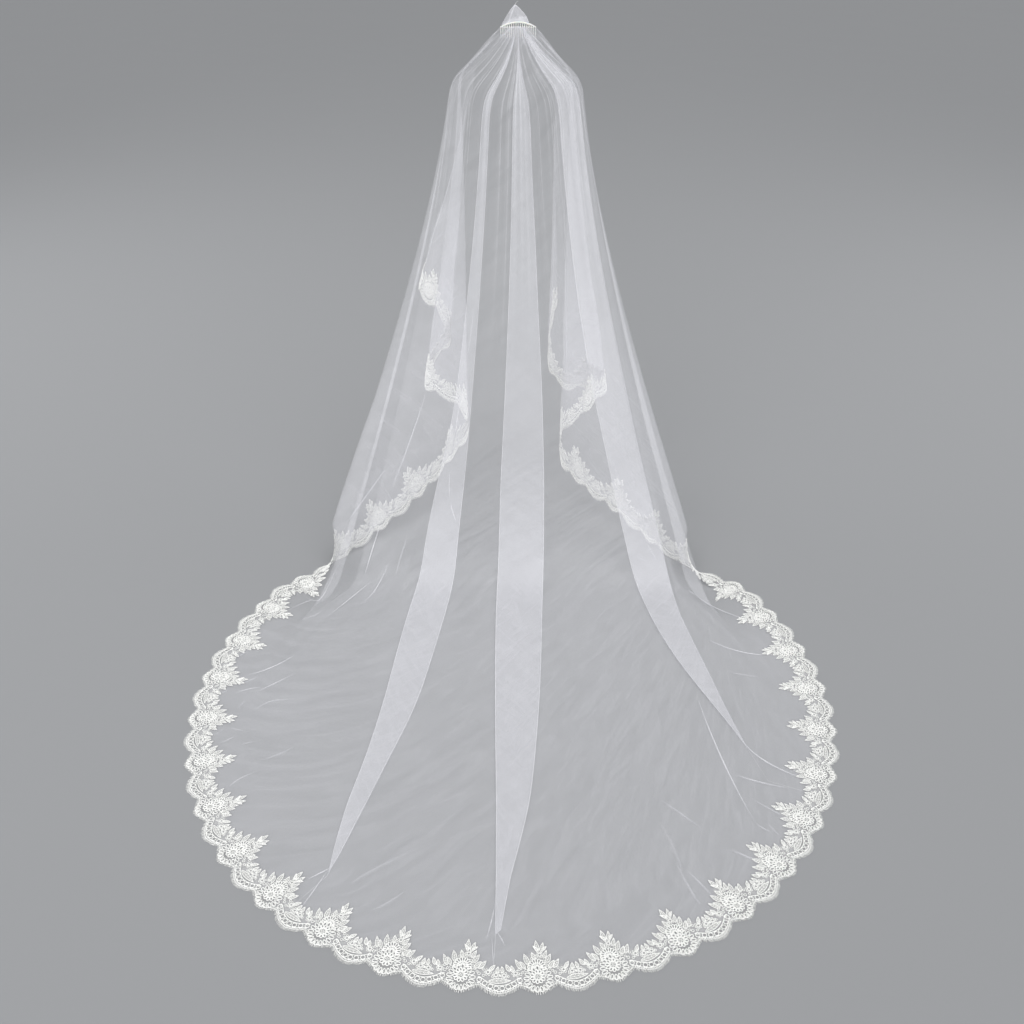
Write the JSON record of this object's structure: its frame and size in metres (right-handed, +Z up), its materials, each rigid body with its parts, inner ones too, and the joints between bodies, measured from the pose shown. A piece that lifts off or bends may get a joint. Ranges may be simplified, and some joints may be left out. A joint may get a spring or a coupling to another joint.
{
  "type": "tulle bridal veil",
  "caption": "Cathedral-length tulle veil gathered on a hair comb, with doubled pleats, cascading front falls and a scalloped lace edging, held in its worn form.",
  "frame": {"origin": "middle of the hair comb, level with the ends of its spine, where it sits on the wearer's head", "axes": "+Z up, the wearer faces -Y, the train runs towards +Y, +X is the wearer's left"},
  "size_m": [1.7055, 2.1737, 1.5579],
  "materials": {
    "tulle": "soft nylon tulle net, ivory white, very sheer, brighter where it is doubled",
    "lace": "corded embroidered lace in ivory cotton and viscose thread, with an eyelash fringe",
    "comb": "moulded translucent ivory plastic, satin"
  },
  "bodies": {
    "root": {"tulle_veil": "tulle", "standing_peak": "tulle", "lace_edging": "lace", "comb": "comb"}
  },
  "joints": []
}
